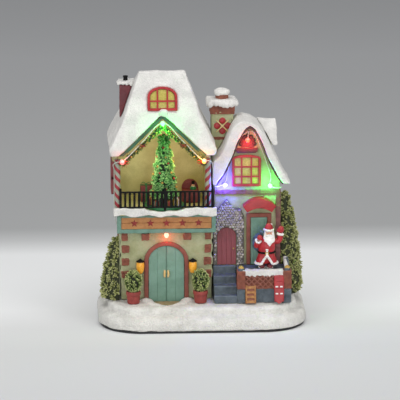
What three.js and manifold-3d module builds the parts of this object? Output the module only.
// A lit Christmas village house of cast and painted pieces: a toy shop with an open upper room and a
// cottage with a porch, side by side on a snowy base. A small tree turns on a platter behind the
// balcony railing. Millimetres, +Z up, the front faces -Y, the origin is under the middle of the base.
import * as THREE from 'three';
import { mergeVertices } from 'three/addons/utils/BufferGeometryUtils.js';
import Module from 'manifold-3d';

const wasm = await Module();
wasm.setup();

// Clearances and common thicknesses
const GAP = 0.3;
const WALL = 4;
const SNOW = 5;

// Base
const BASE_WIDTH = 208;
const BASE_DEPTH = 135;
const BASE_CORNER = 44;
const BASE_PLATE = 2;
const BASE_RIM_TOP = 16;
const BASE_RIM_ROUND = 7;
const GROUND = 24;
const GROUND_INSET = 10;
const GROUND_ROUND = 4;
const PATH_DEPTH = 4;

// Shop, ground floor
const SHOP_X = -36;
const SHOP_FRONT = -25;
const SHOP_WIDTH = 91;
const SHOP_DEPTH = 70;
const SHOP_HEIGHT = 89;
const QUOIN_WIDTH = 7;
const QUOIN_HEIGHT = 7;
const QUOIN_PITCH = 13;
const QUOIN_ROWS = 4;
const QUOIN_OUT = 1;
const CORBEL_WIDTH = 8;
const CORBEL_HEIGHT = 6;
const CORBEL_OUT = 3;
const CORBEL_SPREAD = 42;
const DOOR_WIDTH = 36;
const DOOR_HEIGHT = 56;
const DOOR_ARCH = 16;
const DOOR_THICK = 2;
const DOOR_SEAM = 0.8;
const HANDLE_RADIUS = 1.6;
const HANDLE_HEIGHT = 27;
const SURROUND_WIDTH = 4.2;
const SURROUND_OUT = 2.2;
const SURROUND_FOOT = 2;
const STEP_RADIUS = 13;
const STEP_HEIGHT = 2.6;

// Lanterns and potted bushes
const LANTERN_SPREAD = 52.5;
const LANTERN_RADIUS = 3.8;
const LANTERN_HEIGHT = 17;
const LANTERN_LEVEL = 27;
const BUSH_SPREAD = 67;
const POT_RADIUS = 7.3;
const POT_FOOT_RADIUS = 5.8;
const POT_HEIGHT = 12.5;
const POT_FORWARD = 13;
const BUSH_RADIUS = 8.5;
const BUSH_HEIGHT = 23;

// Sign and balcony
const SIGN_MARGIN = 0.5;
const SIGN_HEIGHT = 19;
const SIGN_THICK = 6;
const SIGN_RAIL = 4;
const SIGN_BOARD_THICK = 2.5;
const STAR_RADIUS = 4;
const STAR_COUNT = 5;
const STAR_PITCH = 16;
const STAR_OUT = 0.8;
const BALCONY_WIDTH = 100;
const BALCONY_OUT = 9;
const BALCONY_THICK = 3;
const LIP_OUT = 2.5;
const LIP_HEIGHT = 4.5;
const LIP_DROP = 0.5;
const LIP_BACK = 5;
const LIP_SIDE = 5.6;
const LIP_WAVES = 4;
const LIP_WAVE = 1.2;
const RAILING_WIDTH = 94;
const RAILING_HEIGHT = 20.5;
const RAILING_THICK = 1.6;
const RAIL_THICK = 1.5;
const BALUSTERS = 20;
const BALUSTER_WIDTH = 1.5;

// Upper room
const ROOM_SHIFT = -3.5;
const ROOM_WIDTH = 94;
const ROOM_WALL = 3;
const ROOM_SIDE_HEIGHT = 55;
const ROOM_PEAK = 98;
const ROOM_PEAK_BACK = 54;
const ROOM_SETBACK = 2;
const POST_RADIUS = 3.2;
const POST_INSET = 2;
const SIDE_WINDOW_LENGTH = 24;
const SIDE_WINDOW_HEIGHT = 33;
const SIDE_WINDOW_LEVEL = 12;
const SIDE_WINDOW_OUT = 3.4;
const SIDE_WINDOW_FRAME = 3;
const TRIM_WIDTH = 3;
const TRIM_DEPTH = 2.5;
const GARLAND_RADIUS = 3;
const GARLAND_FRONT = -3.6;
const GARLAND_LEAN = -0.13;
const BOWS = [-0.95, -0.5, 0.5, 0.95];
const BOW_SIZE = 4.5;

// Turning tree
const TREE_SHIFT = -1.5;
const TREE_BACK = 13;
const PLATTER_RADIUS = 20.5;
const PLATTER_THICK = 4;
const SPINDLE_RADIUS = 3;
const SPINDLE_LENGTH = 10;
const TREE_RADIUS = 12.5;
const TREE_HEIGHT = 71;
const TREE_TRUNK = 9;
const PRESENT_RING = 14.5;
const PRESENT_COUNT = 8;
const PRESENT_SIZE = 6.5;
const MOTOR_RADIUS = 8.4;
const MOTOR_HEIGHT = 20;
const MOTOR_EAR = 5;
const GIFT_SIZE = 11;
const GIFT_HEIGHT = 21;
const GIFT_SIDE = 15;
const GIFT_BACK = 39;
const CHEST_WIDTH = 17;
const CHEST_DEPTH = 12;
const CHEST_HEIGHT = 13;
const CHEST_SIDE = 29;
const CHEST_BACK = 27;

// Shop roof
const ROOF_TOP_WIDTH = 46;
const ROOF_TOP = 138.7;
const ROOF_EAVE_WIDTH = 107;
const ROOF_EAVE = 64;
const ROOF_EAVE_DROP = 6;
const ROOF_EAVE_TUCK = 2;
const ROOF_MIDDLE_WIDTH = 78;
const ROOF_MIDDLE = 93;
const ROOF_EAVE_FRONT = 13;
const ROOF_EAVE_BACK = 75;
const ROOF_TOP_FRONT = 12;
const ROOF_TOP_BACK = 18;
const ROOF_SHOULDER_BACK = 66;
const ROOF_SHOULDER = 98;
const ATTIC_BACK = 45;
const ATTIC_WIDTH = 34;
const ROOF_WINDOW_WIDTH = 29.5;
const ROOF_WINDOW_HEIGHT = 24;
const ROOF_WINDOW_ARCH = 10;
const ROOF_WINDOW_LEVEL = 101.5;
const ROOF_WINDOW_FRAME = 2.4;
const ROOF_WINDOW_THICK = 3;
const PANE_THICK = 1;
const MULLION = 1.6;
const WINDOW_COLUMNS = 3;
const ROOF_WINDOW_ROWS = 2;
const STACK_X = -27.5;
const STACK_WIDTH = 14;
const STACK_DEPTH = 14;
const STACK_BACK = 23;
const STACK_TOP = 122.7;
const STACK_CAP = 3.8;
const STACK_CAP_OUT = 2;
const STACK_POT_RADIUS = 2;
const STACK_POT_HEIGHT = 4.4;

// Cottage
const HOUSE_GAP = 3;
const COTTAGE_WIDTH = 66;
const COTTAGE_FRONT = -16;
const COTTAGE_DEPTH = 61;
const BEAM_LEVEL = 106;
const BEAM_HEIGHT = 4;
const BEAM_OUT = 1.5;
const CORNER_POST = 4.5;
const GABLE_SHIFT = 2;
const GABLE_FOOT = 117;
const GABLE_HALF = 34;
const GABLE_RISE = 60;
const GABLE_WAIST = 0.41;
const GABLE_OUT = 8;
const GABLE_BACK = 36;
const GABLE_SNOW_TOP = 65;
const GABLE_SNOW_LEAN = 5.5;
const GABLE_LEFT_FOOT = 24;
const GABLE_LEFT_REACH = 36.6;
const GABLE_RIGHT_REACH = 41;
const REAR_RIDGE = 176.5;
const REAR_EAVE = 157;
const REAR_RIDGE_BACK = 35;
const REAR_FRONT = 3;
const REAR_BACK = 67;
const REAR_RIGHT = 31;
const REAR_WALL_RIGHT = 25;
const WINDOW_SHIFT = -1;
const WINDOW_WIDTH = 29;
const WINDOW_HEIGHT = 32;
const WINDOW_ARCH = 4;
const WINDOW_ROWS = 3;
const WINDOW_LEVEL = 114;
const WINDOW_FRAME = 2.4;
const WINDOW_THICK = 2.4;
const LEDGE_WIDTH = 21;
const LEDGE_HEIGHT = 3.4;
const LEDGE_OUT = 3;
const STONE_WIDTH = 31;
const STONE_HEIGHT = 58;
const STONE_PEAK = 68;
const STONE_THICK = 2.2;
const RED_DOOR_WIDTH = 19.4;
const RED_DOOR_HEIGHT = 38.4;
const RED_DOOR_SIDE = 4;
const TEAL_DOOR_X = 11.6;
const TEAL_DOOR_WIDTH = 16.4;
const TEAL_DOOR_HEIGHT = 48.5;
const TEAL_FRAME = 4;
const AWNING_WIDTH = 33;
const AWNING_RISE = 8.5;
const AWNING_THICK = 6;
const AWNING_OUT = 11;
const AWNING_LEVEL = 56;

// Cottage chimney
const CHIMNEY_LEFT = -35;
const CHIMNEY_WIDTH = 22;
const CHIMNEY_FRONT = 19;
const CHIMNEY_DEPTH = 16;
const CHIMNEY_TOP = 183.5;
const CHIMNEY_CAP = 8.5;
const CHIMNEY_CAP_OUT = 1;
const CHIMNEY_SNOW = 6.5;
const CHIMNEY_SNOW_OUT = 4.5;
const CHIMNEY_SNOW_DROP = 2;
const CHIMNEY_POT_RADIUS = 6;
const CHIMNEY_POT_HEIGHT = 3.2;
const CHIMNEY_POT_SNOW = 7;
const ORNAMENT_LOBE = 2.8;
const ORNAMENT_REACH = 6.4;
const ORNAMENT_LEVEL = 171.5;

// Porch
const STEP_COUNT = 4;
const STEP_TREAD = 8;
const LANDING = 5;
const STAIR_WIDTH = 23;
const PORCH_WIDTH = 53;
const PORCH_HEIGHT = 33;
const PORCH_OUT = 27;
const PORCH_STONE = 15;
const PORCH_POST = 7;
const PORCH_POST_OUT = 2;
const PORCH_BAND_IN = 1;
const BALL_RADIUS = 3;
const PORCH_SNOW_DROP = 4;
const PORCH_SNOW_TOP = 1.1;
const PORCH_SNOW_BACK = 5;
const RAIL_HEIGHT = 8;
const RAIL_WIDTH = 4;
const SLED_WIDTH = 11;
const SLED_LENGTH = 19;
const SLED_SLATS = 4;
const SLED_THICK = 1.8;
const SLED_X = 1.8;
const SLED_LEAN = 0.24;
const RED_SLED_WIDTH = 9.2;
const RED_SLED_LENGTH = 29;
const RED_SLED_X = 30;
const RED_SLED_LEAN = 0.2;
const RED_SLED_STUDS = [0.36, 0.6];

// Santa figure
const SANTA_X = 19.5;
const SANTA_FORWARD = 15.6;
const SANTA_HEIGHT = 47;

// Firs
const FIR_RADIUS = 19.2;
const FIR_TALL = 107;
const FIR_SHORT = 66;
const FIR_SHORT_RADIUS = 18;
const FIR_TALL_OFF = 5.5;
const FIR_SHORT_OFF = 2.4;
const FIR_TALL_BACK = 19.8;
const FIR_SHORT_BACK = 12;

// LED strings
const WIRE = 0.6;
const BULB = 2.4;
const STRING_STEPS = 64;

// Routes over the cottage gable: shares of its half width and of its rise, and bulb widths out from the wall
const COTTAGE_ROUTE = [
  [-0.8, -0.025, 1.53], [-0.66, 0.017, 1], [-0.59, 0.167, 0.4], [-0.5, 0.383, 0.4], [-0.353, 0.583, 0.4],
  [-0.247, 0.717, 0.4], [-0.147, 0.817, 0.4], [0.03, 0.883, 0.4], [0.147, 0.883, 0.4], [0.247, 0.8, 0.4],
  [0.412, 0.583, 0.4], [0.559, 0.35, 0.4], [0.69, 0.1, 0.4], [0.66, -0.037, 1], [0.824, -0.077, 1.07],
  [1.015, -0.067, 1.07],
];
const COTTAGE_DROP = [[0.03, 0.883, 0.4], [0.012, 0.817, 1], [0, 0.742, 1.07]];
const COTTAGE_BULBS = [[-0.66, -0.01, 1.4], [0, 0.742, 1.13], [0.66, -0.033, 1.4]];

// Battery bay and switch
const BAY_X = -7;
const BAY_LEVEL = 12;
const BAY_SKIN = 1.6;
const CELL_RADIUS = 7;
const CELL_LENGTH = 49;
const CELL_PITCH = 15.2;
const CELLS = 3;
const CONTACT_SPACE = 4;
const BAY_DOOR_THICK = 2;
const BAY_DOOR_LAP = 2;
const HINGE_RADIUS = 1.7;
const HINGE_PIN = 0.8;
const HINGE_LENGTH = 24;
const HINGE_LUG = 3;
const SWITCH_X = 32;
const SWITCH_LEVEL = 40;
const SWITCH_BODY = 13;
const SWITCH_BODY_DEPTH = 6;
const SWITCH_SLOT = 8.6;
const SWITCH_SLOT_HEIGHT = 4.6;
const KNOB_WIDTH = 3.6;
const KNOB_HEIGHT = 3.4;
const KNOB_OUT = 2.5;
const SWITCH_TRAVEL = 4;
const BOARD_WIDTH = 15;
const BOARD_HEIGHT = 46;
const BOARD_THICK = 1.6;

// Step counts of round shapes
const ROUND = 24;
const SMALL_ROUND = 12;
const CURVE = 8;
const EPS = 0.5;
const FAR = 400;
const MERGE = 1e-4;

// Geometry helpers

function solidOf(geometry) {
  const bare = geometry.clone();
  bare.deleteAttribute('normal');
  bare.deleteAttribute('uv');
  const merged = mergeVertices(bare, MERGE);
  const corners = merged.index.array;
  const kept = [];
  for (let i = 0; i < corners.length; i += 3) {
    const [a, b, c] = [corners[i], corners[i + 1], corners[i + 2]];
    if (a !== b && b !== c && c !== a) {
      kept.push(a, b, c);
    }
  }
  const vertProperties = new Float32Array(merged.attributes.position.array);
  return new wasm.Manifold(new wasm.Mesh({ numProp: 3, vertProperties, triVerts: new Uint32Array(kept) }));
}

function geometryOf(solid) {
  const mesh = solid.getMesh();
  const geometry = new THREE.BufferGeometry();
  geometry.setAttribute('position', new THREE.BufferAttribute(new Float32Array(mesh.vertProperties), 3));
  geometry.setIndex(new THREE.BufferAttribute(new Uint32Array(mesh.triVerts), 1));
  return geometry;
}

function join(...geometries) {
  return geometryOf(geometries.map(solidOf).reduce((whole, one) => whole.add(one)));
}

function cut(base, ...tools) {
  return geometryOf(tools.map(solidOf).reduce((rest, tool) => rest.subtract(tool), solidOf(base)));
}

function common(a, b) {
  return geometryOf(solidOf(a).intersect(solidOf(b)));
}

// A block between two x, two y and two z values
function block([x0, x1], [y0, y1], [z0, z1]) {
  const geometry = new THREE.BoxGeometry(x1 - x0, y1 - y0, z1 - z0);
  return geometry.translate((x0 + x1) / 2, (y0 + y1) / 2, (z0 + z1) / 2);
}

function outline(points) {
  return new THREE.Shape(points.map(([a, b]) => new THREE.Vector2(a, b)));
}

// A plan outline raised along z
function raise(shape, z0, z1) {
  const geometry = new THREE.ExtrudeGeometry(shape, { depth: z1 - z0, bevelEnabled: false, curveSegments: CURVE });
  return geometry.translate(0, 0, z0);
}

// A front outline (x, z) run back along y
function runBack(shape, y0, y1) {
  const geometry = new THREE.ExtrudeGeometry(shape, { depth: y1 - y0, bevelEnabled: false, curveSegments: CURVE });
  return geometry.rotateX(Math.PI / 2).translate(0, y1, 0);
}

// A side outline (y, z) run across along x
function runAcross(shape, x0, x1) {
  const geometry = new THREE.ExtrudeGeometry(shape, { depth: x1 - x0, bevelEnabled: false, curveSegments: CURVE });
  const axes = [new THREE.Vector3(0, 1, 0), new THREE.Vector3(0, 0, 1), new THREE.Vector3(1, 0, 0)];
  return geometry.applyMatrix4(new THREE.Matrix4().makeBasis(...axes)).translate(x0, 0, 0);
}

// A profile of (radius, z) points turned round a vertical axis
function turn(profile, sides = ROUND) {
  const points = profile.map(([radius, z]) => new THREE.Vector2(radius, z));
  return new THREE.LatheGeometry(points, sides).rotateX(Math.PI / 2);
}

function post(radius, z0, z1, sides = ROUND) {
  return turn([[0, z0], [radius, z0], [radius, z1], [0, z1]], sides);
}

function ball(radius, [x, y, z], [wide, deep, tall] = [1, 1, 1]) {
  const geometry = new THREE.IcosahedronGeometry(radius, 1);
  return geometry.scale(wide, deep, tall).translate(x, y, z);
}

// A round rod along a curve through the points
function rod(points, radius, steps, sides = CURVE) {
  const curve = new THREE.CatmullRomCurve3(points.map((point) => new THREE.Vector3(...point)), false, 'centripetal');
  const corners = [];
  for (let i = 0; i < sides; i += 1) {
    const angle = (2 * Math.PI * i) / sides;
    corners.push([radius * Math.cos(angle), radius * Math.sin(angle)]);
  }
  return new THREE.ExtrudeGeometry(outline(corners), { steps, extrudePath: curve, bevelEnabled: false });
}

// A door or window outline: straight sides and an elliptical top
function archOutline(width, height, rise, grow = 0, bottom = 0) {
  const half = width / 2 + grow;
  const shape = new THREE.Shape();
  shape.moveTo(-half, bottom);
  shape.lineTo(half, bottom);
  shape.lineTo(half, height - rise);
  shape.absellipse(0, height - rise, half, rise + grow, 0, Math.PI, false);
  shape.closePath();
  return shape;
}

function roundedPlan(width, depth, corner) {
  const radius = Math.min(corner, width / 2 - EPS, depth / 2 - EPS);
  const [x, y] = [width / 2, depth / 2];
  const shape = new THREE.Shape();
  shape.moveTo(-x + radius, -y);
  shape.lineTo(x - radius, -y);
  shape.absarc(x - radius, -y + radius, radius, -Math.PI / 2, 0, false);
  shape.absarc(x - radius, y - radius, radius, 0, Math.PI / 2, false);
  shape.absarc(-x + radius, y - radius, radius, Math.PI / 2, Math.PI, false);
  shape.absarc(-x + radius, -y + radius, radius, Math.PI, 1.5 * Math.PI, false);
  return shape;
}

// A low slab with a rounded upper edge
function softSlab(width, depth, corner, top, edge) {
  const plan = roundedPlan(width - 2 * edge, depth - 2 * edge, corner - edge);
  const options = { depth: top, bevelThickness: edge, bevelSize: edge, bevelSegments: 3, curveSegments: CURVE };
  return new THREE.ExtrudeGeometry(plan, options).translate(0, 0, -edge);
}

// Finishes of the painted castings

function finish(color, roughness, metalness = 0) {
  return new THREE.MeshStandardMaterial({ color, roughness, metalness });
}

const snow = finish(0xe8e6e0, 0.8);
const sage = finish(0xa9ab84, 0.7);
const brick = finish(0x8f5240, 0.75);
const teal = finish(0x6f9a86, 0.6);
const darkRed = finish(0x6e2a33, 0.6);
const brightRed = finish(0xb02a2e, 0.5);
const amber = finish(0xcdb45e, 0.3);
const oak = finish(0xa8713e, 0.65);
const slate = finish(0x5b6672, 0.75);
const pebble = finish(0x8a8782, 0.85);
const foliage = finish(0x6f7434, 0.85);
const pine = finish(0x3f5a2c, 0.85);
const iron = finish(0x17181a, 0.5);
const blackPlastic = finish(0x1c1c1e, 0.5);
const cream = finish(0xb9b183, 0.8);
const lampGlass = finish(0xe0a23c, 0.3);
const candy = finish(0xc9c3bd, 0.5);
const whiteWire = finish(0xf2f2ee, 0.4);
const platterGreen = finish(0x2f7a4c, 0.5);
const steel = finish(0xb8bcc0, 0.35, 0.9);
const boardGreen = finish(0x1f5a37, 0.5);

// Base

function snowBase() {
  const rim = softSlab(BASE_WIDTH, BASE_DEPTH, BASE_CORNER, BASE_RIM_TOP, BASE_RIM_ROUND);
  const [width, depth] = [BASE_WIDTH - 2 * GROUND_INSET, BASE_DEPTH - 2 * GROUND_INSET];
  const mound = softSlab(width, depth, BASE_CORNER - GROUND_INSET, GROUND, GROUND_ROUND);
  const below = block([-BASE_WIDTH, BASE_WIDTH], [-BASE_DEPTH, BASE_DEPTH], [-FAR, BASE_PLATE + GAP]);
  const rimInside = BASE_RIM_ROUND + WALL;
  const lowPlan = roundedPlan(BASE_WIDTH - 2 * rimInside, BASE_DEPTH - 2 * rimInside, BASE_CORNER - rimInside);
  const highPlan = roundedPlan(width - 4 * WALL, depth - 4 * WALL, BASE_CORNER - GROUND_INSET - 2 * WALL);
  const low = raise(lowPlan, -EPS, BASE_RIM_TOP - WALL);
  const high = raise(highPlan, -EPS, GROUND - PATH_DEPTH - WALL);
  const pathHalf = DOOR_WIDTH / 2 + GAP;
  const pathFloor = GROUND - PATH_DEPTH;
  const path = block([SHOP_X - pathHalf, SHOP_X + pathHalf], [-FAR, SHOP_FRONT + WALL], [pathFloor, FAR]);
  return cut(join(rim, mound), below, low, high, path);
}

function basePlate() {
  const inset = 2 * BASE_PLATE;
  return raise(roundedPlan(BASE_WIDTH - inset, BASE_DEPTH - inset, BASE_CORNER - BASE_PLATE), 0, BASE_PLATE);
}

// Shop, ground floor: x from the middle of the front, y back from the front, z up from the snow

const bayWidth = CELL_LENGTH + CONTACT_SPACE + 2 * BAY_SKIN;
const bayHeight = CELLS * CELL_PITCH + 2 * BAY_SKIN;
const bayDepth = 2 * (CELL_RADIUS + GAP) + BAY_SKIN;
const bayDoorTop = BAY_LEVEL + bayHeight + BAY_DOOR_LAP;
const hingeLevel = bayDoorTop + GAP + HINGE_RADIUS;
const hingeBack = SHOP_DEPTH + GAP + HINGE_RADIUS;

function quoins() {
  const half = SHOP_WIDTH / 2;
  const top = SHOP_HEIGHT - SIGN_HEIGHT - 2 * GAP;
  const bricks = [];
  for (let row = 0; row < QUOIN_ROWS; row += 1) {
    const z1 = top - row * QUOIN_PITCH;
    const rows = [z1 - QUOIN_HEIGHT, z1];
    bricks.push(block([-half - QUOIN_OUT, QUOIN_WIDTH - half], [-QUOIN_OUT, QUOIN_WIDTH], rows));
    bricks.push(block([half - QUOIN_WIDTH, half + QUOIN_OUT], [-QUOIN_OUT, QUOIN_WIDTH], rows));
  }
  return bricks;
}

function corbels() {
  const top = SHOP_HEIGHT - SIGN_HEIGHT - GAP;
  return [-1, 1].map((side) => {
    const x = (side * CORBEL_SPREAD) / 2;
    const across = [x - CORBEL_WIDTH / 2, x + CORBEL_WIDTH / 2];
    return block(across, [-CORBEL_OUT, WALL / 2], [top - CORBEL_HEIGHT, top]);
  });
}

function hingeLugs() {
  return [-1, 1].map((side) => {
    const inner = BAY_X + side * (HINGE_LENGTH / 2 + GAP);
    const outer = inner + side * HINGE_LUG;
    const across = [Math.min(inner, outer), Math.max(inner, outer)];
    const middle = (inner + outer) / 2;
    const round = post(HINGE_RADIUS, -HINGE_LUG / 2, HINGE_LUG / 2, SMALL_ROUND).rotateY(Math.PI / 2);
    const upright = [hingeLevel - HINGE_RADIUS, hingeLevel + HINGE_RADIUS];
    const foot = block(across, [SHOP_DEPTH - EPS, hingeBack], upright);
    const bore = post(HINGE_PIN + GAP, -HINGE_LUG, HINGE_LUG, SMALL_ROUND).rotateY(Math.PI / 2);
    const lug = join(foot, round.translate(middle, hingeBack, hingeLevel));
    return cut(lug, bore.translate(middle, hingeBack, hingeLevel));
  });
}

function shopWalls() {
  const half = SHOP_WIDTH / 2;
  const shell = block([-half, half], [0, SHOP_DEPTH], [GAP, SHOP_HEIGHT]);
  const inside = block([WALL - half, half - WALL], [WALL, SHOP_DEPTH - WALL], [-EPS, FAR]);
  const doorway = runBack(archOutline(DOOR_WIDTH, DOOR_HEIGHT, DOOR_ARCH, GAP, -EPS), -FAR, WALL + QUOIN_WIDTH);
  const bayHalf = bayWidth / 2 + GAP;
  const bayRows = [BAY_LEVEL - GAP, BAY_LEVEL + bayHeight + GAP];
  const bay = block([BAY_X - bayHalf, BAY_X + bayHalf], [SHOP_DEPTH - 2 * WALL, FAR], bayRows);
  const slotRows = [SWITCH_LEVEL - SWITCH_SLOT_HEIGHT / 2, SWITCH_LEVEL + SWITCH_SLOT_HEIGHT / 2];
  const slotSpan = [SWITCH_X - SWITCH_SLOT / 2, SWITCH_X + SWITCH_SLOT / 2];
  const slot = block(slotSpan, [SHOP_DEPTH - 2 * WALL, FAR], slotRows);
  const body = cut(join(shell, ...quoins()), inside);
  return join(cut(body, doorway, bay, slot), ...corbels(), ...hingeLugs());
}

function doorSurround() {
  const outer = archOutline(DOOR_WIDTH, DOOR_HEIGHT, DOOR_ARCH, SURROUND_WIDTH, SURROUND_FOOT);
  const inner = archOutline(DOOR_WIDTH, DOOR_HEIGHT, DOOR_ARCH, 0, -EPS);
  return cut(runBack(outer, -SURROUND_OUT - GAP, -GAP), runBack(inner, -FAR, FAR));
}

function doubleDoor() {
  const panel = runBack(archOutline(DOOR_WIDTH, DOOR_HEIGHT, DOOR_ARCH, 0, GAP - PATH_DEPTH), 0, DOOR_THICK);
  const seam = block([-DOOR_SEAM / 2, DOOR_SEAM / 2], [-EPS, DOOR_SEAM], [-FAR, FAR]);
  const handles = [-1, 1].map((side) => ball(HANDLE_RADIUS, [side * HANDLE_RADIUS * 1.3, 0, HANDLE_HEIGHT]));
  return join(cut(panel, seam), ...handles);
}

function doorstep() {
  const plan = new THREE.Shape();
  plan.absarc(0, 0, STEP_RADIUS, Math.PI, 2 * Math.PI, false);
  const bottom = GAP - PATH_DEPTH;
  return raise(plan, bottom, bottom + STEP_HEIGHT).translate(0, -GAP - HANDLE_RADIUS, 0);
}

function lantern() {
  const [r, h] = [LANTERN_RADIUS, LANTERN_HEIGHT];
  const profile = [[0, 0], [r * 0.3, 0], [r * 0.35, h * 0.08], [r * 0.8, h * 0.35], [r, h * 0.7], [r * 0.95, h * 0.8]];
  const cap = [[r * 1.08, h * 0.81], [r * 0.6, h * 0.95], [0, h]];
  const arm = block([-r * 0.2, r * 0.2], [0, lanternForward - GAP], [h * 0.84, h * 0.92]);
  return join(turn([...profile, ...cap], SMALL_ROUND), arm);
}

const lanternForward = LANTERN_RADIUS * 1.3;

function pottedBush() {
  const [rim, foot, h] = [POT_RADIUS, POT_FOOT_RADIUS, POT_HEIGHT];
  const band = h * 0.75;
  const pot = turn([[0, 0], [foot, 0], [rim * 0.95, band], [rim, band], [rim, h], [0, h]], ROUND);
  const half = BUSH_HEIGHT / 2;
  return join(pot, ball(BUSH_RADIUS, [0, 0, h - 1 + half], [1, 1, half / BUSH_RADIUS]));
}

// Sign over the shop front
const signWidth = BALCONY_WIDTH - 2 * SIGN_MARGIN;
const signLevel = SHOP_HEIGHT - SIGN_HEIGHT;
const boardInset = SIGN_RAIL + GAP;

function signFrame() {
  const half = signWidth / 2;
  const body = block([-half, half], [-SIGN_THICK - GAP, -GAP], [signLevel, SHOP_HEIGHT]);
  const rows = [signLevel + SIGN_RAIL, SHOP_HEIGHT - SIGN_RAIL / 2];
  const pocket = block([SIGN_RAIL - half, half - SIGN_RAIL], [-FAR, -SIGN_THICK + SIGN_BOARD_THICK + GAP], rows);
  return cut(body, pocket);
}

function starOutline(radius) {
  const points = [];
  for (let i = 0; i < 10; i += 1) {
    const reach = i % 2 === 0 ? radius : radius * 0.45;
    const angle = Math.PI / 2 + (i * Math.PI) / 5;
    points.push([reach * Math.cos(angle), reach * Math.sin(angle)]);
  }
  return outline(points);
}

function signBoard() {
  const half = signWidth / 2 - boardInset;
  const [back, front] = [-SIGN_THICK + SIGN_BOARD_THICK, -SIGN_THICK];
  const rows = [signLevel + boardInset, SHOP_HEIGHT - SIGN_RAIL / 2 - GAP];
  const stars = [];
  for (let i = 0; i < STAR_COUNT; i += 1) {
    const x = (i - (STAR_COUNT - 1) / 2) * STAR_PITCH;
    const star = runBack(starOutline(STAR_RADIUS), front - STAR_OUT, front + STAR_OUT);
    stars.push(star.translate(x, 0, (rows[0] + rows[1]) / 2));
  }
  return join(block([-half, half], [front, back], rows), ...stars);
}

function signLight() {
  const [y, z] = [-BULB - 2 * GAP, signLevel - BULB - 2 * GAP];
  const stem = post(WIRE, 0, -y - GAP, CURVE).rotateX(-Math.PI / 2);
  return join(ball(BULB, [0, y, z]), stem.translate(0, y, z));
}

// Balcony
const slabBottom = SHOP_HEIGHT + GAP;
const floorTop = slabBottom + BALCONY_THICK;

function balconyFloor() {
  const half = BALCONY_WIDTH / 2;
  const front = block([-half, half], [-BALCONY_OUT, COTTAGE_FRONT - SHOP_FRONT - LIP_BACK], [slabBottom, floorTop]);
  const main = block([-half, SHOP_WIDTH / 2], [-BALCONY_OUT, SHOP_DEPTH], [slabBottom, floorTop]);
  const hole = post(SPINDLE_RADIUS + GAP, -FAR, FAR).translate(TREE_SHIFT, TREE_BACK, 0);
  return cut(join(front, main), hole);
}

function balconySnow() {
  const half = BALCONY_WIDTH / 2;
  const [top, front] = [floorTop + LIP_HEIGHT, -BALCONY_OUT - LIP_OUT];
  const points = [[half, top], [-half, top]];
  for (let i = 0; i <= LIP_WAVES * 4; i += 1) {
    const along = i / (LIP_WAVES * 4);
    const wave = LIP_WAVE * Math.sin(2 * Math.PI * LIP_WAVES * along);
    points.push([-half + BALCONY_WIDTH * along, slabBottom - LIP_DROP + wave]);
  }
  const face = runBack(outline(points), front, -BALCONY_OUT - GAP);
  const shelf = block([-half, half], [front, front + LIP_BACK], [floorTop + GAP, top]);
  const platter = post(PLATTER_RADIUS + 1, floorTop + GAP / 2, FAR).translate(TREE_SHIFT, TREE_BACK, 0);
  const dip = new THREE.Shape();
  dip.absellipse(TREE_SHIFT, top + GAP, PLATTER_RADIUS, LIP_HEIGHT * 0.85, 0, 2 * Math.PI, false);
  const side = block([-half - LIP_OUT, -half - GAP], [front, front + LIP_SIDE], [slabBottom, top]);
  const corner = block([-half - LIP_OUT, -half + LIP_OUT], [front, -BALCONY_OUT - GAP], [slabBottom, top]);
  return cut(join(face, shelf, side, corner), platter, runBack(dip, -FAR, FAR));
}

function railing() {
  const half = RAILING_WIDTH / 2;
  const bottom = floorTop + LIP_HEIGHT + GAP;
  const top = bottom + RAILING_HEIGHT;
  const middle = -BALCONY_OUT - EPS;
  const depth = [middle - RAILING_THICK / 2, middle + RAILING_THICK / 2];
  const bars = [
    block([-half, half], depth, [bottom, bottom + RAIL_THICK]),
    block([-half, half], depth, [top - RAIL_THICK, top]),
    block([TREE_SHIFT - BALUSTER_WIDTH, TREE_SHIFT + BALUSTER_WIDTH], depth, [bottom - LIP_HEIGHT + 1, top]),
  ];
  for (let i = 0; i <= BALUSTERS; i += 1) {
    const x = -half + BALUSTER_WIDTH / 2 + (i * (RAILING_WIDTH - BALUSTER_WIDTH)) / BALUSTERS;
    bars.push(block([x - BALUSTER_WIDTH / 2, x + BALUSTER_WIDTH / 2], depth, [bottom, top]));
  }
  return join(...bars);
}

// Upper room: x from the middle of the room, y back from the shop front, z up from the balcony floor

const roomBack = SHOP_DEPTH - 1;

function roomOutline(grow, bottom) {
  const half = ROOM_WIDTH / 2 + grow;
  const slope = (ROOM_PEAK - ROOM_SIDE_HEIGHT) / (ROOM_WIDTH / 2);
  const lift = grow * (Math.hypot(1, slope) - slope);
  const peak = ROOM_PEAK + grow * Math.hypot(1, slope);
  return outline([[-half, bottom], [half, bottom], [half, ROOM_SIDE_HEIGHT + lift], [0, peak],
    [-half, ROOM_SIDE_HEIGHT + lift]]);
}

// The room in side view: the ceiling comes forward towards the ridge, under the back slope of the roof
function roomSide(grow) {
  const lean = (roomBack - ROOM_PEAK_BACK) / (ROOM_PEAK - ROOM_SIDE_HEIGHT);
  const top = ROOM_PEAK + 2 * WALL;
  const peakBack = ROOM_PEAK_BACK - lean * (top - ROOM_PEAK);
  return outline([[-FAR, -WALL], [roomBack + grow, -WALL], [roomBack + grow, ROOM_SIDE_HEIGHT],
    [peakBack + grow, top], [-FAR, top]]);
}

// The room as a solid: its front outline and its side outline together
function roomBlock(grow, bottom, front) {
  const gable = runBack(roomOutline(grow, bottom), front, FAR);
  return common(gable, runAcross(roomSide(grow), -FAR, FAR));
}

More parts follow.
